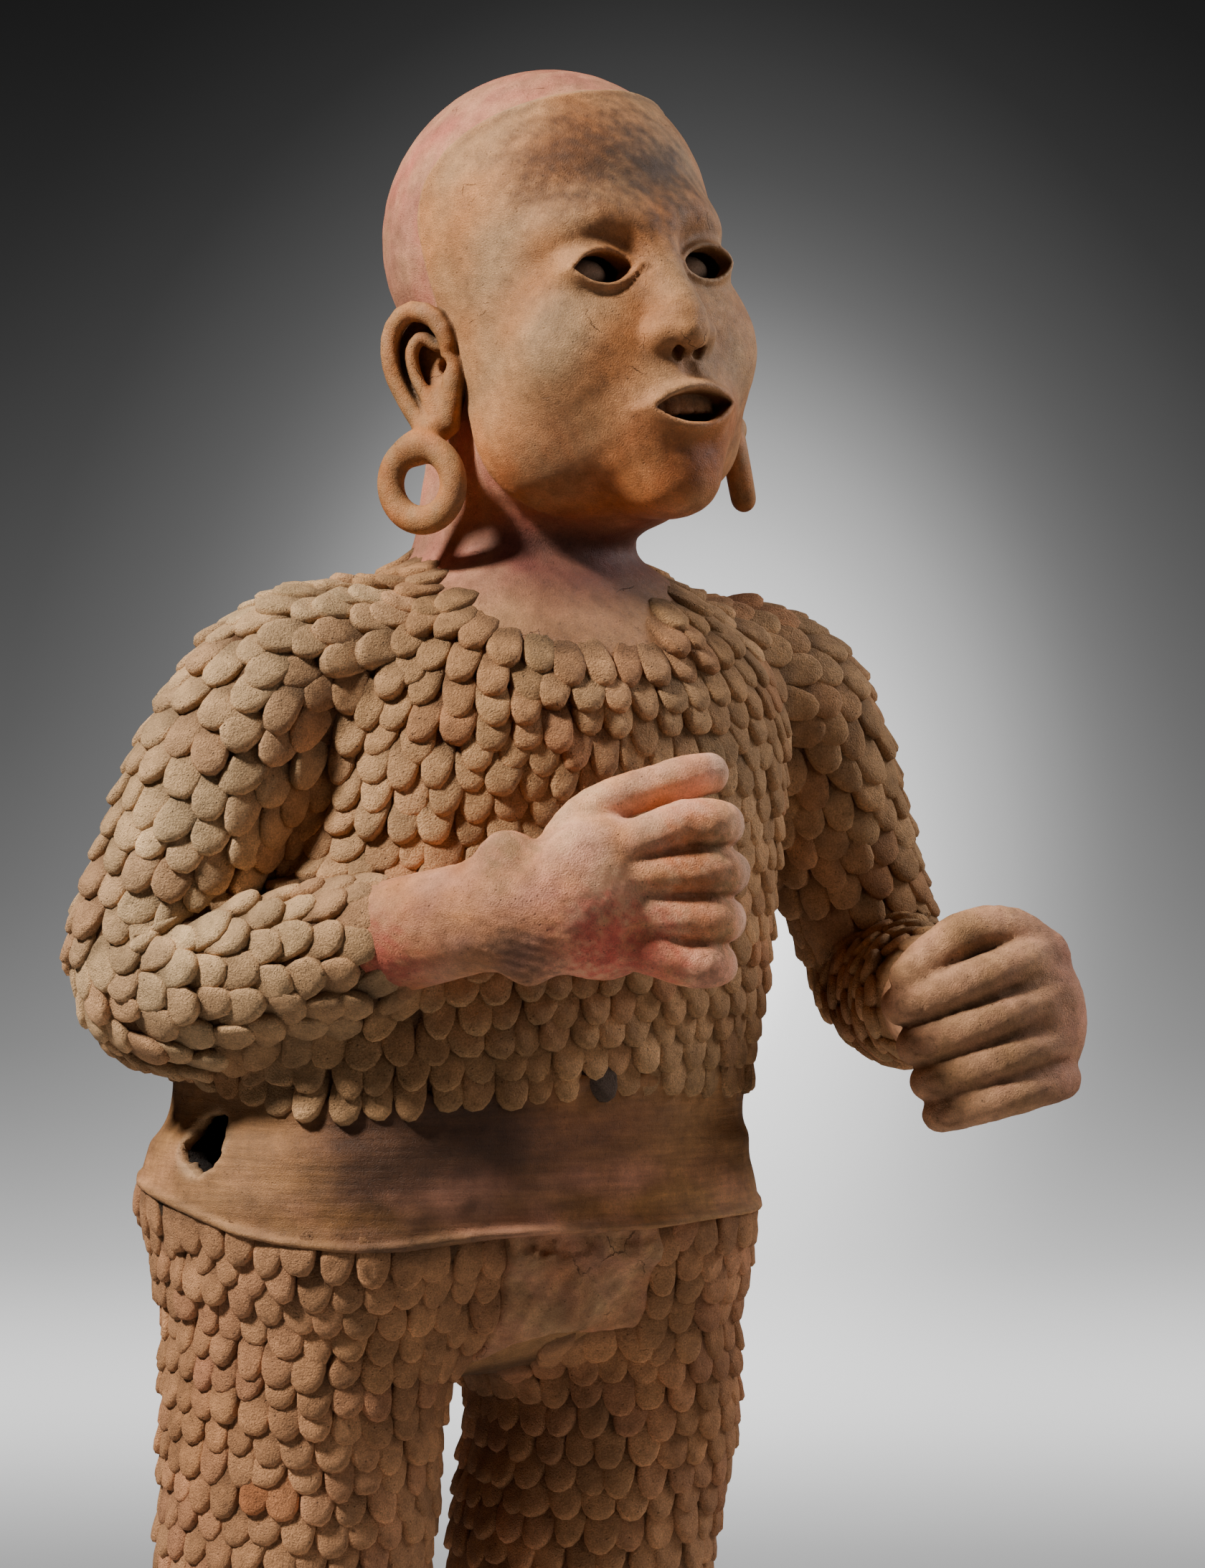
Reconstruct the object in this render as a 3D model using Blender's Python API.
"""A standing terracotta deity figure in a shirt and trousers of overlapping clay scales.

The figure, its ring ears and its low base were fired as one piece, so they are one solid. The
statue faces -Y, its left is +X, and the origin is at the middle of the underside of the base.
"""

import math

import bmesh
import bpy
from mathutils import Matrix, Vector

# Driving dimensions, in metres
BASE_HEIGHT = 0.035
BASE_HALF = (0.195, 0.150)
BASE_CENTRE = (0.0, -0.035)
CROTCH_HEIGHT = 0.546
BELT_FOOT = 0.635
BELT_TOP = 0.694
NECKLINE = 0.980
LEG_SPREAD = 0.091
SCALE_LIFT = 0.0055
TROUSER_HEM = 0.135

# The head: where its middle lies, how far it is tipped back and to its right, and its size
HEAD_CENTRE = Vector((0.044, -0.068, 1.133))
HEAD_TILT = math.radians(-11.0)
HEAD_ROLL = math.radians(-5.0)
CROWN = 0.136
CHIN = 0.139
EYE_SPACING = 0.034
EYE_HALF = (0.0170, 0.0085)
MOUTH_LEVEL = -0.082
MOUTH_HALF = (0.0270, 0.0085)
EAR_CENTRE = Vector((0.091, 0.016, -0.020))
RING_CENTRE = Vector((0.105, 0.018, -0.090))
RING_RADIUS = 0.0175
RING_THICKNESS = 0.0088
EAR_TURN = math.radians(55.0)

# How far the neckline and the two edges of the belt hang down at the front
NECKLINE_DIP = 0.042
HEM_DIP = 0.004
BELT_FOOT_DIP = 0.018
# How much lower the foot of the belt is at the left hip than in the middle
BELT_SLOPE = 0.006

FINGER_RADIUS = 0.0122

TURN = 2 * math.pi


def blend(keys, at):
    """A smooth curve through rows that start with their place along it: (place, value, ...)."""
    last = len(keys) - 1
    at = min(max(at, keys[0][0]), keys[last][0])
    i = max(k for k in range(last) if keys[k][0] <= at)
    before, start, end, after = (keys[min(max(i + step, 0), last)] for step in (-1, 0, 1, 2))
    width = end[0] - start[0]
    t = (at - start[0]) / width
    values = []
    for a, b, c, d in zip(before[1:], start[1:], end[1:], after[1:]):
        leave = (c - a) / (end[0] - before[0]) * width
        arrive = (d - b) / (after[0] - start[0]) * width
        values.append(
            b * (2 * t**3 - 3 * t**2 + 1)
            + leave * (t**3 - 2 * t**2 + t)
            + c * (3 * t**2 - 2 * t**3)
            + arrive * (t**3 - t**2)
        )
    return values


def rounded(turn, half_x, half_y, power=2.0):
    """A point of a superellipse, with turn from 0 to 1."""
    c = math.cos(turn * TURN)
    s = math.sin(turn * TURN)
    x = math.copysign(abs(c) ** (2 / power), c)
    y = math.copysign(abs(s) ** (2 / power), s)
    return Vector((half_x * x, half_y * y))


class Skin:
    """A closed loft: rings of points with the same count, bridged in order and capped."""

    def __init__(self, count):
        self.count = count
        self.rings = []
        self.lean = []

    def ring(self, point, coarse=False):
        """Adds a ring from point(turn). A coarse one has each second point only."""
        step = 2 if coarse else 1
        self.rings.append([point((j - j % step) / self.count) for j in range(self.count)])
        self.lean.append(None)

    def scales(self, point, start, end, rows, lift=SCALE_LIFT, notch=0.42):
        """Rows of overlapping scales. point(turn, along, lift) is on the surface.

        Each row has a raised edge that runs from tip to notch to tip, and under it the same
        edge on the surface itself. The tips of one row hang over the notches of the next.
        """
        step = (end - start) / rows
        for row in range(1, rows + 1):
            tip = start + step * row
            raised = []
            tucked = []
            for j in range(self.count):
                turn = j / self.count
                if (j + row) % 2:
                    raised.append(point(turn, tip, lift))
                    tucked.append(point(turn, tip, 0.0))
                else:
                    raised.append(point(turn, tip - step * notch, 0.0))
                    tucked.append(raised[-1])
            self.rings += [raised, tucked]
            self.lean += [row % 2, None]

    def build(self, name):
        mesh = bmesh.new()
        verts = [[mesh.verts.new(p) for p in ring] for ring in self.rings]
        for k in range(1, len(verts)):
            upper, lower = verts[k - 1], verts[k]
            for j in range(self.count):
                n = (j + 1) % self.count
                tip_here = self.lean[k] is not None and (j + self.lean[k]) % 2
                if tip_here or self.lean[k] is None:
                    mesh.faces.new((upper[j], lower[j], upper[n]))
                    mesh.faces.new((upper[n], lower[j], lower[n]))
                else:
                    mesh.faces.new((upper[j], lower[j], lower[n]))
                    mesh.faces.new((upper[j], lower[n], upper[n]))
        mesh.faces.new(verts[0])
        mesh.faces.new(verts[-1][::-1])
        bmesh.ops.remove_doubles(mesh, verts=mesh.verts, dist=0.00001)
        bmesh.ops.dissolve_degenerate(mesh, edges=mesh.edges, dist=0.00001)
        bmesh.ops.triangulate(mesh, faces=[f for f in mesh.faces if len(f.verts) > 4])
        return finished(name, mesh)


def finished(name, mesh):
    bmesh.ops.recalc_face_normals(mesh, faces=mesh.faces)
    data = bpy.data.meshes.new(name)
    mesh.to_mesh(data)
    mesh.free()
    obj = bpy.data.objects.new(name, data)
    bpy.context.scene.collection.objects.link(obj)
    return obj


def framed(path, up=None):
    """A path of rows (x, y, z, half_up, half_side) as a function of its length.

    It gives (centre, up, side, half_up, half_side). With no up given, the frame is carried
    along the path without twisting.
    """
    keys = [(0.0, *path[0])]
    for row in path[1:]:
        keys.append((keys[-1][0] + math.dist(row[:3], keys[-1][1:4]), *row))
    length = keys[-1][0]
    steps = 80
    frames = []
    carried = Vector(up) if up else Vector((0, 0, 1))
    for k in range(steps + 1):
        here = blend(keys, length * k / steps)
        ahead = blend(keys, min(length, length * k / steps + 0.001))
        behind = blend(keys, max(0.0, length * k / steps - 0.001))
        along = (Vector(ahead[:3]) - Vector(behind[:3])).normalized()
        if up:
            carried = Vector(up)
        elif k == 0 and abs(along.z) > 0.7:
            carried = Vector((0, -1, 0))
        carried = (carried - along * carried.dot(along)).normalized()
        frames.append((Vector(here[:3]), carried, along.cross(carried), here[3], here[4]))

    def at(t):
        k = min(int(t * steps), steps - 1)
        f = t * steps - k
        one, two = frames[k], frames[k + 1]
        return [a * (1 - f) + b * f for a, b in zip(one, two)]

    return at


def around(frame, turn, lift=0.0):
    centre, up, side, half_up, half_side = frame
    flat = rounded(turn, half_side + lift, half_up + lift)
    return centre + side * flat.x + up * flat.y


def sweep(name, path, sides, rings, up=None, domes=(0.45, 0.85)):
    """A tube along a path. Its far end is domed by rings shrunk to these shares."""
    at = framed(path, up)
    skin = Skin(sides)
    for k in range(rings + 1):
        skin.ring(lambda turn, t=k / rings: around(at(t), turn))
    for shrink in domes[::-1]:
        skin.ring(lambda turn, s=shrink: end_ring(at(1.0), at(0.98), turn, s))
    return skin.build(name)


def end_ring(frame, inner, turn, shrink):
    """A ring past the end of a tube, so that the end is domed."""
    centre, up, side, half_up, half_side = frame
    out = (centre - inner[0]).normalized() * min(half_up, half_side)
    dome = out * math.sqrt(1 - shrink * shrink)
    return around((centre + dome, up, side, half_up * shrink, half_side * shrink), turn)


def ball(name, centre, halves, turned=None, cuts=2):
    mesh = bmesh.new()
    bmesh.ops.create_icosphere(mesh, subdivisions=cuts, radius=1.0)
    place = Matrix.Translation(centre) @ (turned or Matrix()) @ Matrix.Diagonal((*halves, 1.0))
    bmesh.ops.transform(mesh, matrix=place, verts=mesh.verts)
    return finished(name, mesh)


# The trunk, from the neck to the crotch: height, middle x and y, half width, half depth
TRUNK = (
    (CROTCH_HEIGHT - 0.014, 0.003, -0.006, 0.030, 0.040),
    (CROTCH_HEIGHT, 0.003, -0.010, 0.050, 0.070),
    (0.575, 0.004, -0.012, 0.064, 0.097),
    (0.608, 0.004, -0.012, 0.080, 0.108),
    (0.624, 0.003, -0.010, 0.145, 0.114),
    (BELT_FOOT, 0.002, -0.010, 0.174, 0.125),
    (0.662, -0.001, -0.013, 0.173, 0.124),
    (BELT_TOP, 0.003, -0.017, 0.164, 0.121),
    (0.750, 0.008, -0.024, 0.166, 0.121),
    (0.840, 0.022, -0.038, 0.153, 0.116),
    (0.900, 0.029, -0.044, 0.146, 0.110),
    (0.945, 0.032, -0.043, 0.126, 0.096),
    (NECKLINE, 0.033, -0.040, 0.082, 0.074),
    (0.998, 0.032, -0.037, 0.061, 0.061),
    (1.030, 0.033, -0.037, 0.055, 0.057),
    (1.085, 0.038, -0.043, 0.054, 0.057),
)
DIPS = (
    (CROTCH_HEIGHT - 0.014, 0.0),
    (0.608, BELT_FOOT_DIP * 0.6),
    (BELT_FOOT, BELT_FOOT_DIP),
    (BELT_TOP, HEM_DIP),
    (0.900, NECKLINE_DIP * 0.5),
    (NECKLINE, NECKLINE_DIP),
    (1.030, 0.0),
    (1.085, 0.0),
)


def trunk_point(turn, level, lift=0.0):
    """A point of the trunk. A level dips towards the front, which is at turn 0.75."""
    facing = (1 - math.sin(turn * TURN)) / 2
    z = level - blend(DIPS, level)[0] * facing**1.5
    z -= BELT_SLOPE * math.cos(turn * TURN) * max(0.0, 1 - abs(level - BELT_FOOT) / 0.05)
    x, y, half_width, half_depth = blend(TRUNK, z)
    flat = rounded(turn, half_width + lift, half_depth + lift, 2.25)
    return Vector((x + flat.x, y + flat.y, z - lift * 0.3))


def trunk():
    skin = Skin(40)
    for level in (1.085, 1.035, 1.003):
        skin.ring(lambda turn, z=level: trunk_point(turn, z), coarse=True)
    skin.ring(lambda turn: trunk_point(turn, NECKLINE))
    skin.scales(trunk_point, NECKLINE, BELT_TOP, 9)
    belt = (
        (BELT_TOP - 0.006, 0.0),
        (0.665, 0.003),
        (BELT_FOOT + 0.002, 0.004),
        (BELT_FOOT - 0.004, 0.0),
        (0.616, 0.0),
        (0.575, 0.0),
        (CROTCH_HEIGHT, 0.0),
        (CROTCH_HEIGHT - 0.014, 0.0),
    )
    for level, lift in belt:
        skin.ring(lambda turn, z=level, out=lift: trunk_point(turn, z, out), coarse=True)
    return skin.build("trunk")


# A leg: height, middle between the legs, how far from it, y, half width, half depth
LEG = (
    (0.075, 0.000, LEG_SPREAD - 0.003, 0.012, 0.036, 0.042),
    (0.110, 0.000, LEG_SPREAD - 0.002, 0.012, 0.037, 0.043),
    (TROUSER_HEM, 0.000, LEG_SPREAD - 0.002, 0.010, 0.044, 0.049),
    (0.210, 0.000, LEG_SPREAD - 0.001, 0.008, 0.058, 0.063),
    (0.300, -0.002, LEG_SPREAD, 0.000, 0.064, 0.068),
    (0.440, -0.002, LEG_SPREAD, -0.004, 0.0715, 0.0760),
    (0.500, 0.005, LEG_SPREAD + 0.004, -0.006, 0.0735, 0.079),
    (0.540, 0.005, LEG_SPREAD + 0.003, -0.008, 0.073, 0.084),
    (0.575, 0.004, LEG_SPREAD - 0.001, -0.010, 0.0745, 0.091),
    (0.610, 0.003, LEG_SPREAD - 0.004, -0.012, 0.083, 0.103),
    (0.665, 0.002, LEG_SPREAD - 0.007, -0.010, 0.077, 0.099),
)


def leg(name, side):
    def point(turn, level, lift=0.0):
        facing = (1 - math.sin(turn * TURN)) / 2
        dip = BELT_FOOT_DIP * facing * max(0.0, min(1.0, (level - 0.35) / 0.29))
        middle, away, y, half_width, half_depth = blend(LEG, level - dip)
        flat = rounded(turn, half_width + lift, half_depth + lift, 2.1)
        return Vector((middle + side * away + flat.x, y + flat.y, level - dip - lift * 0.3))

    skin = Skin(20)
    skin.ring(lambda turn: point(turn, 0.660), coarse=True)
    skin.ring(lambda turn: point(turn, 0.632))
    skin.scales(point, 0.632, TROUSER_HEM + 0.008, 13)
    ankle = ((TROUSER_HEM, 0.003), (TROUSER_HEM - 0.008, 0.003), (TROUSER_HEM - 0.010, 0.0), (0.075, 0.0))
    for level, lift in ankle:
        skin.ring(lambda turn, z=level, out=lift: point(turn, z, out), coarse=True)
    return skin.build(name)


def foot(name, side):
    """A bare foot that points forward, with five toes in a falling row."""
    x = side * (LEG_SPREAD - 0.003)
    low = BASE_HEIGHT
    path = (
        (x, 0.040, low + 0.022, 0.026, 0.028),
        (x, 0.012, low + 0.034, 0.040, 0.034),
        (x + side * 0.002, -0.028, low + 0.028, 0.034, 0.035),
        (x + side * 0.005, -0.068, low + 0.014, 0.020, 0.038),
        (x + side * 0.006, -0.092, low + 0.008, 0.014, 0.037),
    )
    pieces = [sweep(name, path, 10, 5, up=(0, 0, 1))]
    toes = Skin(8)
    for k in range(11):
        across = (k - 5) * 0.0072
        bump = 0.0105 - 0.0006 * k - (0.0 if k % 2 else 0.0045)
        centre = Vector((x + side * (0.006 + across), -0.100 + 0.0003 * k * k, low + 0.0065))
        reach = 0.014 - 0.0004 * k - (0.0 if k % 2 else 0.006)
        toes.ring(lambda turn, c=centre, u=bump, f=reach: c + toe_ring(turn, f, u))
    pieces.append(toes.build(f"{name}_toes"))
    return pieces


def toe_ring(turn, forward, up):
    """A section through the row of toes, which stops at the top of the base."""
    flat = rounded(turn, forward, up)
    return Vector((0.0, -flat.x, max(flat.y, -0.0075)))


# Each sleeve is an upper and a lower tube: x, y, z, and the radius twice
RIGHT_UPPER_ARM = (
    (-0.030, -0.046, 0.922, 0.046, 0.046),
    (-0.082, -0.046, 0.930, 0.047, 0.047),
    (-0.122, -0.042, 0.918, 0.049, 0.049),
    (-0.149, -0.032, 0.876, 0.050, 0.050),
    (-0.168, -0.016, 0.822, 0.047, 0.047),
    (-0.181, -0.004, 0.775, 0.044, 0.044),
)
RIGHT_LOWER_ARM = (
    (-0.187, 0.006, 0.764, 0.041, 0.041),
    (-0.168, -0.028, 0.762, 0.047, 0.047),
    (-0.145, -0.071, 0.771, 0.041, 0.041),
    (-0.118, -0.116, 0.784, 0.033, 0.033),
)
LEFT_UPPER_ARM = (
    (0.100, -0.046, 0.918, 0.046, 0.046),
    (0.150, -0.046, 0.926, 0.047, 0.047),
    (0.196, -0.044, 0.916, 0.048, 0.048),
    (0.225, -0.042, 0.874, 0.045, 0.045),
    (0.250, -0.040, 0.820, 0.040, 0.040),
    (0.270, -0.038, 0.772, 0.037, 0.037),
)
LEFT_LOWER_ARM = (
    (0.277, -0.026, 0.762, 0.034, 0.034),
    (0.269, -0.060, 0.755, 0.039, 0.039),
    (0.252, -0.100, 0.752, 0.037, 0.037),
    (0.226, -0.150, 0.750, 0.034, 0.034),
)
RIGHT_FOREARM = (
    (-0.150, -0.066, 0.772, 0.030, 0.030),
    (-0.119, -0.115, 0.785, 0.0315, 0.030),
    (-0.092, -0.160, 0.797, 0.0340, 0.028),
    (-0.070, -0.196, 0.8065, 0.0385, 0.0245),
    (-0.050, -0.216, 0.8085, 0.0405, 0.0235),
    (-0.026, -0.232, 0.8115, 0.0445, 0.0220),
    (-0.006, -0.241, 0.8125, 0.0455, 0.0190),
)
LEFT_FOREARM = (
    (0.245, -0.110, 0.751, 0.030, 0.030),
    (0.226, -0.150, 0.750, 0.031, 0.029),
    (0.210, -0.190, 0.748, 0.034, 0.029),
    (0.203, -0.216, 0.746, 0.041, 0.034),
    (0.202, -0.240, 0.744, 0.044, 0.037),
)


def sleeve(name, path, rows):
    """A tube of scales, domed at its near end where the elbow is."""
    at = framed(path)
    skin = Skin(12)
    if name.endswith("lower_arm"):
        skin.ring(lambda turn: end_ring(at(0.0), at(0.02), turn, 0.6), coarse=True)
    skin.ring(lambda turn: around(at(0.0), turn))
    skin.scales(lambda turn, t, lift: around(at(t), turn, lift), 0.0, 0.985, rows)
    skin.ring(lambda turn: around(at(1.0), turn, 0.001), coarse=True)
    if name.endswith("upper_arm"):
        skin.ring(lambda turn: end_ring(at(1.0), at(0.98), turn, 0.7), coarse=True)
    return skin.build(name)


def right_hand():
    """The near hand, closed round a staff that is gone: four fingers and a raised thumb."""
    pieces = [sweep("right_forearm", RIGHT_FOREARM, 10, 6, up=(0, 0, 1))]
    levels = (0.8490, 0.8240, 0.7995, 0.7760)
    for k, z in enumerate(levels):
        reach = (0.0, 0.003, 0.001, -0.004)[k]
        r = FINGER_RADIUS * (1.0, 1.03, 1.0, 0.94)[k]
        path = (
            (-0.024, -0.232, z * 0.8 + 0.812 * 0.2, r, r * 0.95),
            (0.0155 + reach, -0.2495, z, r, r),
            (0.0330 + reach, -0.2440, z, r * 0.97, r * 0.95),
            (0.0415 + reach, -0.2240, z, r * 0.93, r * 0.90),
            (0.0330 + reach, -0.2050, z, r * 0.86, r * 0.80),
        )
        pieces.append(sweep(f"right_finger_{k}", path, 6, 5, up=(0, 0, 1), domes=(0.7,)))
    thumb = (
        (-0.052, -0.202, 0.832, 0.015, 0.013),
        (-0.036, -0.206, 0.855, 0.0125, 0.0125),
        (-0.004, -0.212, 0.8665, 0.0100, 0.0105),
        (0.022, -0.216, 0.8715, 0.0100, 0.0108),
        (0.036, -0.216, 0.8740, 0.0102, 0.0100),
    )
    pieces.append(sweep("right_thumb", thumb, 6, 4, up=(0, 1, 0), domes=(0.7,)))
    palm = ball("right_palm", (-0.002, -0.222, 0.812), (0.034, 0.020, 0.044), None, 1)
    return pieces + [palm]


# The far fist lies across the view from the front right corner of the statue
FIST_CENTRE = Vector((0.193, -0.250, 0.7443))
FIST_ACROSS = Vector((0.839, -0.545, 0.0))
FIST_INTO = Vector((0.545, 0.839, 0.0))


def fist_point(across, into, z):
    return FIST_CENTRE + FIST_ACROSS * across + FIST_INTO * into + Vector((0, 0, z))


def left_hand():
    """The far fist: the fingers are stacked, with their tips to the statue's right."""
    pieces = [sweep("left_forearm", LEFT_FOREARM, 10, 4, up=(0, 0, 1))]
    fingers = (
        (-0.046, 0.0070, 0.026, 0.0330),
        (-0.038, -0.0145, 0.032, 0.0110),
        (-0.031, -0.0340, 0.037, -0.0120),
        (-0.025, -0.0510, 0.040, -0.0330),
    )
    for k, (tip, tip_z, root, root_z) in enumerate(fingers):
        r = (0.0112, 0.0115, 0.0112, 0.0104)[k]
        path = []
        for t, into in ((0.0, 0.004), (0.12, -0.012), (0.45, -0.021), (0.8, -0.018), (1.0, -0.010)):
            p = fist_point(root + (tip - root) * t, into, root_z + (tip_z - root_z) * t)
            path.append((*p, r * (1 - 0.1 * t), r * (1 - 0.1 * t)))
        pieces.append(sweep(f"left_finger_{k}", path, 6, 5, up=(0, 0, 1), domes=(0.7,)))
    thumb = []
    for across, into, z, r in (
        (0.026, 0.012, 0.036, 0.0150),
        (0.008, 0.002, 0.047, 0.0140),
        (-0.018, -0.010, 0.043, 0.0125),
        (-0.038, -0.012, 0.027, 0.0115),
    ):
        thumb.append((*fist_point(across, into, z), r, r))
    pieces.append(sweep("left_thumb", thumb, 6, 4, up=tuple(-FIST_INTO), domes=(0.7,)))
    turned = Matrix.Rotation(math.atan2(FIST_ACROSS.y, FIST_ACROSS.x), 4, "Z")
    tip = turned @ Matrix.Rotation(math.radians(-12), 4, "Y")
    pieces.append(ball("left_palm", fist_point(0.012, 0.012, -0.002), (0.043, 0.032, 0.049), tip, 1))
    return pieces


# The head along its own upright: height, y of the middle, half width, half depth
HEAD = (
    (-CHIN, -0.062, 0.022, 0.022),
    (-0.130, -0.054, 0.042, 0.038),
    (-0.105, -0.034, 0.062, 0.062),
    (-0.070, -0.016, 0.077, 0.080),
    (-0.030, -0.003, 0.084, 0.090),
    (0.015, 0.008, 0.085, 0.098),
    (0.060, 0.015, 0.082, 0.100),
    (0.095, 0.018, 0.073, 0.089),
    (0.122, 0.019, 0.050, 0.064),
    (CROWN, 0.018, 0.016, 0.022),
)


HEAD_TURN = Matrix.Rotation(HEAD_TILT, 4, "X") @ Matrix.Rotation(HEAD_ROLL, 4, "Y")


def tipped(point):
    """A point of the upright head, in the place of the tipped one."""
    return HEAD_CENTRE + HEAD_TURN @ Vector(point)


def head_point(turn, level):
    y, half_width, half_depth = blend(HEAD, level)
    flat = rounded(turn, half_width, half_depth, 2.15)
    return tipped((flat.x, y + flat.y, level))


def face_y(x, z):
    """How far forward the face lies at a place on it, in the head's own frame."""
    y, half_width, half_depth = blend(HEAD, z)
    return y - half_depth * (1 - min(1.0, abs(x) / half_width) ** 2.15) ** (1 / 2.15)


def head():
    skin = Skin(22)
    levels = (-CHIN, -0.130, -0.112, -0.088, -0.060, -0.030)
    levels += (0.005, 0.040, 0.070, 0.096, 0.117, 0.130, CROWN)
    for level in levels:
        skin.ring(lambda turn, z=level: head_point(turn, z))
    return skin.build("head")


def face_features():
    """What stands out of the face: the nose and the lips."""
    low, high = -0.046, 0.014
    bridge = tuple(
        (*tipped((0, face_y(0, z) + into, z)), half_deep, half_wide)
        for z, into, half_deep, half_wide in (
            (high, 0.004, 0.007, 0.0075),
            (-0.010, 0.000, 0.009, 0.0085),
            (-0.030, -0.005, 0.012, 0.0115),
            (low, -0.006, 0.012, 0.0150),
        )
    )
    pieces = [sweep("nose", bridge, 8, 4, up=tuple(HEAD_TURN @ Vector((0, -1, 0))))]
    for side in (-1, 1):
        wing = tipped((side * 0.0125, face_y(0.0125, low) - 0.004, low + 0.001))
        pieces.append(ball(f"nostril_wing_{side}", wing, (0.0075, 0.009, 0.007), HEAD_TURN, 1))
    lip = []
    for k in range(15):
        turn = k / 14
        flat = rounded(turn, MOUTH_HALF[0] + 0.004, MOUTH_HALF[1] + 0.005)
        z = MOUTH_LEVEL + flat.y
        thick = 0.0048 + 0.0022 * abs(math.sin(turn * TURN))
        lip.append((*tipped((flat.x, face_y(flat.x, z) + 0.001, z)), thick, thick))
    pieces.append(loop_sweep("lips", lip, 5))
    return pieces


def loop_sweep(name, path, sides):
    """A closed tube through a loop of points; the last point repeats the first."""
    points = [Vector(row[:3]) for row in path[:-1]]
    centre = sum(points, Vector()) / len(points)
    mesh = bmesh.new()
    rings = []
    for k, point in enumerate(points):
        along = (points[(k + 1) % len(points)] - points[k - 1]).normalized()
        out = point - centre
        out = (out - along * out.dot(along)).normalized()
        face = along.cross(out)
        radius = path[k][3]
        ring = []
        for j in range(sides):
            angle = TURN * j / sides
            ring.append(mesh.verts.new(point + (out * math.cos(angle) + face * math.sin(angle)) * radius))
        rings.append(ring)
    for k, ring in enumerate(rings):
        other = rings[(k + 1) % len(rings)]
        for j in range(sides):
            n = (j + 1) % sides
            mesh.faces.new((ring[j], ring[n], other[n], other[j]))
    return finished(name, mesh)


def face_openings():
    """The cutters for the eyes, the nostrils and the parted mouth of the mask."""
    cutters = []
    for side in (-1, 1):
        x = side * EYE_SPACING
        place = tipped((x, face_y(x, 0.0) + 0.001, 0.0))
        cutters.append(ball(f"eye_opening_{side}", place, (EYE_HALF[0], 0.017, EYE_HALF[1]), HEAD_TURN))
        place = tipped((side * 0.0065, face_y(0, -0.048) - 0.010, -0.0555))
        cutters.append(ball(f"nostril_{side}", place, (0.0034, 0.0042, 0.0075), HEAD_TURN, 1))
    place = tipped((0, face_y(0, MOUTH_LEVEL) - 0.001, MOUTH_LEVEL))
    cutters.append(ball("mouth_opening", place, (MOUTH_HALF[0], 0.022, MOUTH_HALF[1]), HEAD_TURN))
    return cutters


def behind_the_mask():
    """The inner eyes and the row of teeth that show through the openings."""
    pieces = []
    for side in (-1, 1):
        x = side * EYE_SPACING
        place = tipped((x, face_y(x, 0.0) + 0.019, 0.0))
        pieces.append(ball(f"inner_eye_{side}", place, (0.011, 0.010, 0.008), HEAD_TURN, 1))
    place = tipped((0, face_y(0, MOUTH_LEVEL) + 0.016, MOUTH_LEVEL + 0.006))
    pieces.append(ball("teeth", place, (0.0235, 0.010, 0.0085), HEAD_TURN, 1))
    return pieces


def ear(name, side):
    """An ear with a curled rim, and its lobe stretched into a ring."""
    back = Vector((side * math.cos(EAR_TURN), math.sin(EAR_TURN), 0.0))
    out = Vector((side * math.sin(EAR_TURN), -math.cos(EAR_TURN), 0.0))
    root = Vector((side * EAR_CENTRE.x, EAR_CENTRE.y, EAR_CENTRE.z)) - out * 0.006
    rim = []
    for away, up, radius in (
        (-0.016, 0.010, 0.0070),
        (-0.008, 0.030, 0.0075),
        (0.008, 0.034, 0.0075),
        (0.020, 0.020, 0.0070),
        (0.022, -0.002, 0.0065),
        (0.016, -0.024, 0.0065),
        (0.008, -0.044, 0.0075),
    ):
        rim.append((*tipped(root + back * away + Vector((0, 0, up)) + out * 0.004), radius, radius))
    pieces = [sweep(f"{name}_rim", rim, 5, 8)]
    shell = Matrix.Rotation(math.atan2(back.y, back.x), 4, "Z")
    place = tipped(root + back * 0.002 - out * 0.004)
    pieces.append(ball(f"{name}_shell", place, (0.019, 0.008, 0.036), HEAD_TURN @ shell, 1))
    ring = []
    centre = Vector((side * RING_CENTRE.x, RING_CENTRE.y, RING_CENTRE.z))
    for k in range(13):
        angle = TURN * k / 12
        p = centre + back * math.cos(angle) * RING_RADIUS
        p += Vector((0, 0, math.sin(angle) * RING_RADIUS * 1.08))
        ring.append((*tipped(p), RING_THICKNESS, RING_THICKNESS))
    pieces.append(loop_sweep(f"{name}_ring", ring, 6))
    web = tuple(
        (*tipped(p), 0.0085, 0.0085)
        for p in (
            centre + Vector((0, 0, RING_RADIUS + 0.002)),
            root + back * 0.002 + Vector((0, 0, -0.036)),
            root - back * 0.004 + Vector((0, 0, -0.022)),
        )
    )
    pieces.append(sweep(f"{name}_web", web, 6, 2))
    return pieces


def base():
    skin = Skin(32)
    for z, inset in ((0.0, 0.004), (0.004, 0.0), (BASE_HEIGHT - 0.006, 0.0), (BASE_HEIGHT, 0.006)):
        skin.ring(
            lambda turn, z=z, inset=inset: Vector(
                (
                    *(
                        rounded(turn, BASE_HALF[0] - inset, BASE_HALF[1] - inset, 3.6)
                        + Vector(BASE_CENTRE)
                    ),
                    z,
                )
            )
        )
    return skin.build("base")


def hip_vent():
    """The cutter for the vent hole through the wall at the right hip."""
    at = trunk_point(0.545, 0.668)
    return ball("hip_vent", at, (0.022, 0.009, 0.0125), Matrix.Rotation(0.3, 4, "Z"), 1)


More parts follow.
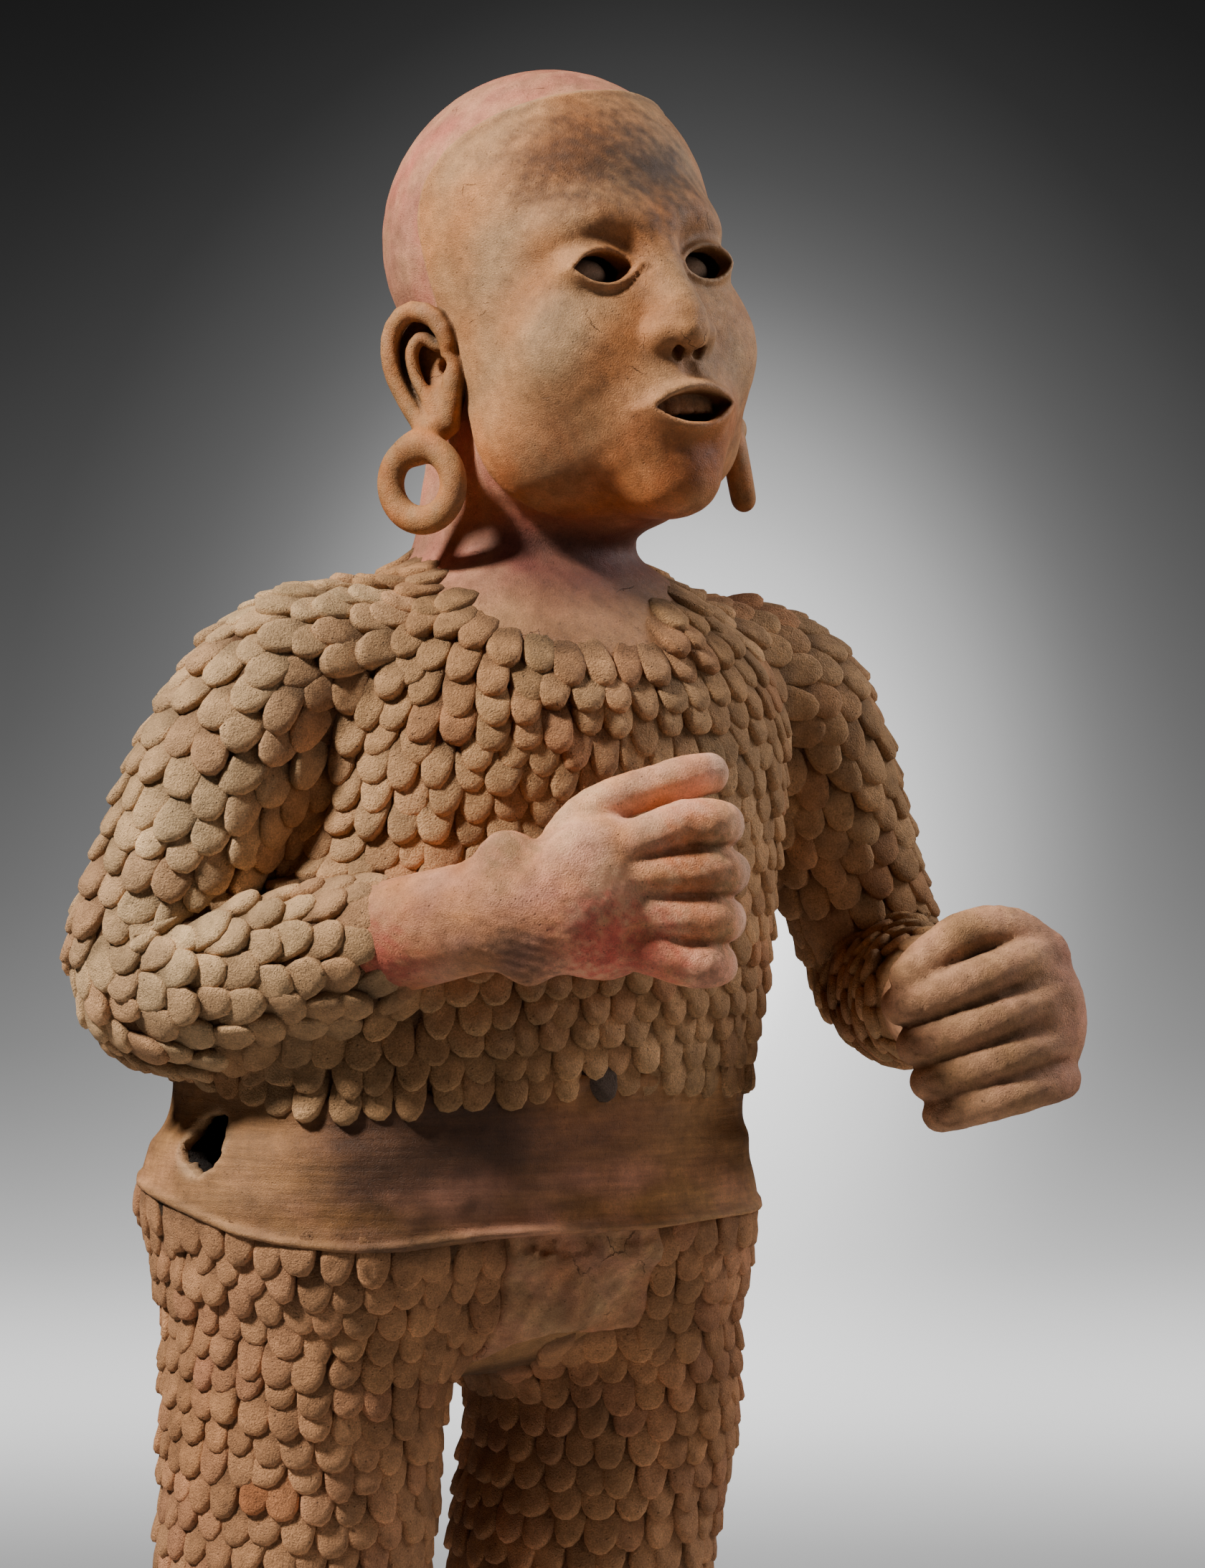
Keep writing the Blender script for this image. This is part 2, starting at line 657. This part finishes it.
def combine(body, others, operation):
    """Adds or cuts the others by one exact Boolean on the body, and removes them."""
    group = bpy.data.collections.new("operands")
    bpy.context.scene.collection.children.link(group)
    for other in others:
        group.objects.link(other)
    step = body.modifiers.new(operation.lower(), "BOOLEAN")
    step.operation = operation
    step.operand_type = "COLLECTION"
    step.collection = group
    step.solver = "EXACT"
    step.use_self = False
    graph = bpy.context.evaluated_depsgraph_get()
    result = bpy.data.meshes.new_from_object(body.evaluated_get(graph))
    body.modifiers.clear()
    body.data = result
    for other in others:
        bpy.data.objects.remove(other)
    bpy.data.collections.remove(group)


def fill_pockets(obj):
    """Keeps the outer skin only, so that a pocket shut in between two scales is solid clay."""
    mesh = bmesh.new()
    mesh.from_mesh(obj.data)
    rest = set(mesh.verts)
    shells = []
    while rest:
        shell = {rest.pop()}
        reach = list(shell)
        while reach:
            for edge in reach.pop().link_edges:
                for vert in edge.verts:
                    if vert in rest:
                        rest.remove(vert)
                        shell.add(vert)
                        reach.append(vert)
        shells.append(shell)
    shells.sort(key=len)
    for shell in shells[:-1]:
        bmesh.ops.delete(mesh, geom=list(shell), context="VERTS")
    mesh.to_mesh(obj.data)
    mesh.free()


def terracotta():
    material = bpy.data.materials.new("terracotta")
    material.use_nodes = True
    shader = material.node_tree.nodes["Principled BSDF"]
    shader.inputs["Base Color"].default_value = (0.42, 0.24, 0.14, 1.0)
    shader.inputs["Roughness"].default_value = 0.82
    shader.inputs["Metallic"].default_value = 0.0
    return material


def main():
    for obj in list(bpy.data.objects):
        bpy.data.objects.remove(obj)
    statue = trunk()
    statue.name = "statue"
    limbs = [base()]
    for name, side in (("right", -1), ("left", 1)):
        limbs.append(leg(f"{name}_leg", side))
        limbs += foot(f"{name}_foot", side)
        limbs += ear(f"{name}_ear", side)
    limbs.append(sleeve("right_upper_arm", RIGHT_UPPER_ARM, 7))
    limbs.append(sleeve("right_lower_arm", RIGHT_LOWER_ARM, 4))
    limbs.append(sleeve("left_upper_arm", LEFT_UPPER_ARM, 7))
    limbs.append(sleeve("left_lower_arm", LEFT_LOWER_ARM, 4))
    limbs += right_hand() + left_hand()
    limbs += [head()] + face_features()
    for limb in limbs:
        combine(statue, [limb], "UNION")
    for cutter in face_openings() + [hip_vent()]:
        combine(statue, [cutter], "DIFFERENCE")
    for piece in behind_the_mask():
        combine(statue, [piece], "UNION")
    fill_pockets(statue)
    statue.data.materials.clear()
    statue.data.materials.append(terracotta())
    statue.data.shade_smooth()
    statue.data.set_sharp_from_angle(angle=math.radians(35))
    for mesh in list(bpy.data.meshes):
        if mesh.users == 0:
            bpy.data.meshes.remove(mesh)


main()
